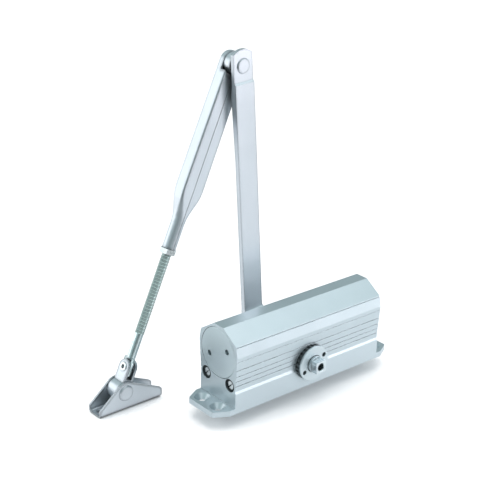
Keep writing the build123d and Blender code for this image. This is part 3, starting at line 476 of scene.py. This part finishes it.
def cut_end(mesh, reach, keep_below):
    """Cuts a mesh square to the rod, drops one side of the cut and closes it."""
    cut = bmesh.ops.bisect_plane(
        mesh,
        geom=mesh.verts[:] + mesh.edges[:] + mesh.faces[:],
        plane_co=on_rod(reach, 0, 0),
        plane_no=rod_down,
        clear_outer=not keep_below,
        clear_inner=keep_below,
        dist=CUT_TOLERANCE,
    )
    rim = [part for part in cut["geom_cut"] if isinstance(part, bmesh.types.BMEdge)]
    bmesh.ops.edgeloop_fill(mesh, edges=rim)


def add_thread(mesh):
    """Helical thread along the rod, closed by a flat face at each end."""
    turns = math.ceil((THREAD_END - ROD_INNER_END) / THREAD_PITCH) + 2
    first = ROD_INNER_END - THREAD_PITCH
    rows = []
    for turn in range(turns):
        for share, height in THREAD_PROFILE:
            radius = THREAD_CREST - THREAD_DEPTH * (1 - height)
            start = first + THREAD_PITCH * (turn + share)
            row = []
            for side in range(THREAD_SIDES):
                part = side / THREAD_SIDES
                row.append(mesh.verts.new(on_rod(start + THREAD_PITCH * part, 2 * math.pi * part, radius)))
            rows.append(row)
    lead = len(THREAD_PROFILE)
    for index in range(len(rows) - lead - 1):
        for side in range(THREAD_SIDES):
            after = side + 1
            low, high = rows[index], rows[index + 1]
            if after == THREAD_SIDES:
                low_after, high_after = rows[index + lead][0], rows[index + lead + 1][0]
            else:
                low_after, high_after = low[after], high[after]
            mesh.faces.new((low[side], high[side], high_after, low_after))
    for vertex in [v for v in mesh.verts if not v.link_faces]:
        mesh.verts.remove(vertex)
    cut_end(mesh, ROD_INNER_END, True)
    cut_end(mesh, THREAD_END, False)


def add_shank(mesh):
    """Plain round shank between the thread and the eye, with its ends just clear of theirs."""
    rings = []
    for reach in (THREAD_END + SHANK_END_GAP, SHANK_END - SHANK_END_GAP):
        turn = [2 * math.pi * side / SHANK_SIDES for side in range(SHANK_SIDES)]
        rings.append([mesh.verts.new(on_rod(reach, angle, SHANK_RADIUS)) for angle in turn])
    top, bottom = rings
    for side in range(SHANK_SIDES):
        after = (side + 1) % SHANK_SIDES
        mesh.faces.new((top[side], bottom[side], bottom[after], top[after]))
    mesh.faces.new(top)
    mesh.faces.new(bottom[::-1])


def make_rod():
    """Threaded rod: the helix, then the plain shank with the eye cut from the CAD rod."""
    shank = bmesh.new()
    shank.from_mesh(nodes["adjusting_rod"].data)
    bmesh.ops.remove_doubles(shank, verts=shank.verts[:], dist=WELD_DISTANCE)
    cut_end(shank, SHANK_END, True)
    add_shank(shank)
    thread = bmesh.new()
    add_thread(thread)
    for mesh in (shank, thread):
        bmesh.ops.recalc_face_normals(mesh, faces=mesh.faces[:])
    for face in shank.faces:
        face.material_index = 1
    data = bpy.data.meshes.new("threaded_rod")
    joined = bmesh.new()
    for mesh in (thread, shank):
        mesh.to_mesh(data)
        joined.from_mesh(data)
        mesh.free()
    joined.to_mesh(data)
    joined.free()
    data.materials.append(thread_plate)
    data.materials.append(shank_plate)
    data.shade_smooth()
    data.set_sharp_from_angle(angle=SHARP_ANGLE)
    rod = bpy.data.objects.new("threaded_rod", data)
    bpy.context.scene.collection.objects.link(rod)
    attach(rod, "rod")
    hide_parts("adjusting_rod")


make_rod()

# ---- Return spring, which the piston presses together ----


def make_spring():
    """Coil spring: a copy of the CAD spring's mesh, carried with the housing."""
    spring = bpy.data.objects.new("coil_spring", nodes["return_spring"].data.copy())
    bpy.context.scene.collection.objects.link(spring)
    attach(spring, "housing")
    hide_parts("return_spring")
    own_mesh(spring)


make_spring()

# ---- Floor, and the white backdrop below it ----
# Sizes are in metres. A LIFT is the light that makes the floor white to the camera and in metal.
FLOOR_DROP = 0.0001
FLOOR_REACH = 4.0
FLOOR_ROUGHNESS = 0.9
FLOOR_TONES = (0.80, 0.83)
FLOOR_GRAIN_SCALE = 3
FLOOR_GLOW = (1.0, 0.92, 0.96, 1)
FLOOR_LIFT = 0.36
FAR_FLOOR_LIFT = 0.3
FAR_FLOOR_SPAN = (0.5, 2.0)
# Reach of the ambient occlusion that paints a contact shadow on the floor.
SHADE_REACH = 45 * MM
SHADE_SAMPLES = 16
CLEAR_SPAN = (0.5, 0.97)
BACKDROP_REACH = 30.0
BACKDROP_DROP = 0.65
# Two zones of the floor that the object reflects, outside the picture: how far out along a side each begins
# and is at its full strength.
FRONT_SIDE = (-0.65, -0.76, 0)
FRONT_SPAN = (0.15, 0.4)
FRONT_TONE = 0.25
KEY_SIDE = (0.62, -0.78, 0)
KEY_SPAN = (0.25, 0.5)
KEY_FLOOR_DROP = 0.28


def grey_tone(level):
    """Grey as four channels."""
    return (level, level, level, 1)


def add_plane(name, material, reach, height):
    """Level square of the stage, as far as its reach each way."""
    data = bpy.data.meshes.new(name)
    corners = [(-1, -1, 0), (1, -1, 0), (1, 1, 0), (-1, 1, 0)]
    data.from_pydata([Vector(c) * reach for c in corners], [], [(0, 1, 2, 3)])
    data.materials.append(material)
    plane = bpy.data.objects.new(name, data)
    plane.location = (0, 0, height)
    bpy.context.scene.collection.objects.link(plane)


def shows_stage(tree):
    """1 for the rays that show the stage, straight, in metal or through glass."""
    path = add_node(tree, "ShaderNodeLightPath").outputs
    shown = maths(tree, "MAXIMUM", path["Is Camera Ray"], path["Is Glossy Ray"])
    return maths(tree, "MAXIMUM", shown, path["Is Transmission Ray"])


def pale_paint(name):
    """Pale matt paint, and the mask of its grey zone."""
    material, tree, shader = new_material(name, 0.0, FLOOR_ROUGHNESS)
    grain = remap(tree, noise(tree, place(tree), FLOOR_GRAIN_SCALE, 2), *NOISE_SPAN, 0.0, 1.0)
    tone = mix(tree, grain, *(grey_tone(level) for level in FLOOR_TONES))
    grey_zone = remap(tree, reach_along(tree, place(tree), FRONT_SIDE), *FRONT_SPAN, 0.0, 1.0)
    tree.links.new(mix(tree, grey_zone, tone, grey_tone(FRONT_TONE)), shader.inputs["Base Color"])
    shader.inputs["Specular IOR Level"].default_value = 0.0
    return material, grey_zone


def make_floor():
    """Floor with a painted contact shadow: an ambient-occlusion mask near the object dims its glow and
    makes it opaque to the camera, where the lamps' shadow also shows; elsewhere it is clear to the camera.

    So an arm that swings below the floor still shows, against the backdrop.
    """
    material, grey_zone = pale_paint("floor_paint")
    tree = material.node_tree
    shader = tree.nodes["Principled BSDF"]
    shader.inputs["Emission Color"].default_value = FLOOR_GLOW
    # Painted shadow: the ambient occlusion dims the floor's glow near the object and makes the floor opaque
    # to the camera there.
    floor_out_of_contact_shadow = crevice(tree, SHADE_REACH, SHADE_SAMPLES)
    away = add_node(tree, "ShaderNodeVectorMath", {0: place(tree)}, operation="LENGTH").outputs["Value"]
    lift = maths(tree, "ADD", remap(tree, away, *FAR_FLOOR_SPAN, 0.0, FAR_FLOOR_LIFT), FLOOR_LIFT)
    drop = remap(tree, reach_along(tree, place(tree), KEY_SIDE), *KEY_SPAN, 0.0, KEY_FLOOR_DROP)
    lift = maths(tree, "MULTIPLY", floor_out_of_contact_shadow, maths(tree, "SUBTRACT", lift, drop))
    lift = maths(tree, "MULTIPLY", lift, maths(tree, "SUBTRACT", 1.0, grey_zone))
    tree.links.new(maths(tree, "MULTIPLY", shows_stage(tree), lift), shader.inputs["Emission Strength"])
    path = add_node(tree, "ShaderNodeLightPath").outputs
    clear = maths(tree, "MULTIPLY", path["Is Camera Ray"], remap(tree, floor_out_of_contact_shadow, *CLEAR_SPAN, 0.0, 1.0))
    clear = maths(tree, "MAXIMUM", clear, path["Is Shadow Ray"])
    glass = add_node(tree, "ShaderNodeBsdfTransparent")
    inputs = {0: clear, 1: shader.outputs["BSDF"], 2: glass.outputs["BSDF"]}
    surface = add_node(tree, "ShaderNodeMixShader", inputs).outputs["Shader"]
    tree.links.new(surface, tree.nodes["Material Output"].inputs["Surface"])
    add_plane("floor", material, FLOOR_REACH, bounds_before[0][2] - FLOOR_DROP)


def make_backdrop():
    """White ground under the floor."""
    material = pale_paint("backdrop_paint")[0]
    tree = material.node_tree
    shader = tree.nodes["Principled BSDF"]
    tree.links.new(shows_stage(tree), shader.inputs["Emission Strength"])
    shader.inputs["Emission Color"].default_value = grey_tone(1)
    add_plane("backdrop", material, BACKDROP_REACH, bounds_before[0][2] - BACKDROP_DROP)


make_floor()
make_backdrop()

# ---- Light: softboxes towards a point on the object, and a pale world ----
LIGHT_TARGET = Vector((-0.03, 0.02, 0.08))


def softbox(name, direction, distance, size, radiance, tint):
    """Area lamp seen from the object in a direction, as bright as its radiance says."""
    data = bpy.data.lights.new(name, "AREA")
    data.shape = "RECTANGLE"
    data.size, data.size_y = size
    data.energy = radiance * math.pi * size[0] * size[1]
    data.color = tint
    lamp = bpy.data.objects.new(name, data)
    toward = Vector(direction).normalized()
    lamp.location = LIGHT_TARGET + toward * distance
    lamp.rotation_euler = toward.to_track_quat("Z", "Y").to_euler()
    bpy.context.scene.collection.objects.link(lamp)


softbox("key", (0.62, -0.78, 0.14), 1.7, size=(1.3, 0.8), radiance=3.8, tint=(1.0, 0.94, 0.985))
softbox("top", (0.12, -0.18, 0.95), 1.6, size=(2.3, 1.4), radiance=0.78, tint=(1.0, 0.96, 0.98))
softbox("left_back", (-0.69, 0.70, 0.24), 1.6, size=(1.6, 1.1), radiance=1.2, tint=(1.0, 0.97, 0.98))

WORLD_LEVEL = 0.7
WORLD_TINT = (0.78, 0.98, 1.0, 1)
# Direction, the degrees from it up to which a patch is full and where it ends, and the level that it adds.
WORLD_PATCHES = [
    ((0.6, 0.7, 0.38), 8, 30, -0.28),
    ((-0.68, -0.70, 0.2), 10, 34, -0.45),
    ((0.6, -0.48, 0.65), 8, 22, 0.45),
]


def make_world():
    """Pale cool surroundings, with two dim patches and a bright one that the object's faces reflect."""
    world = bpy.data.worlds.new("world")
    bpy.context.scene.world = world
    world.use_nodes = True
    tree = world.node_tree
    background = tree.nodes["Background"]
    background.inputs["Color"].default_value = WORLD_TINT
    direction = add_node(tree, "ShaderNodeTexCoord").outputs["Generated"]
    level = WORLD_LEVEL
    for toward, full, ended, strength in WORLD_PATCHES:
        alike = reach_along(tree, direction, Vector(toward).normalized())
        ends = (math.cos(math.radians(ended)), math.cos(math.radians(full)))
        level = maths(tree, "ADD", remap(tree, alike, *ends, 0.0, strength), level)
    tree.links.new(level, background.inputs["Strength"])


make_world()
bpy.context.scene.view_settings.view_transform = "Standard"
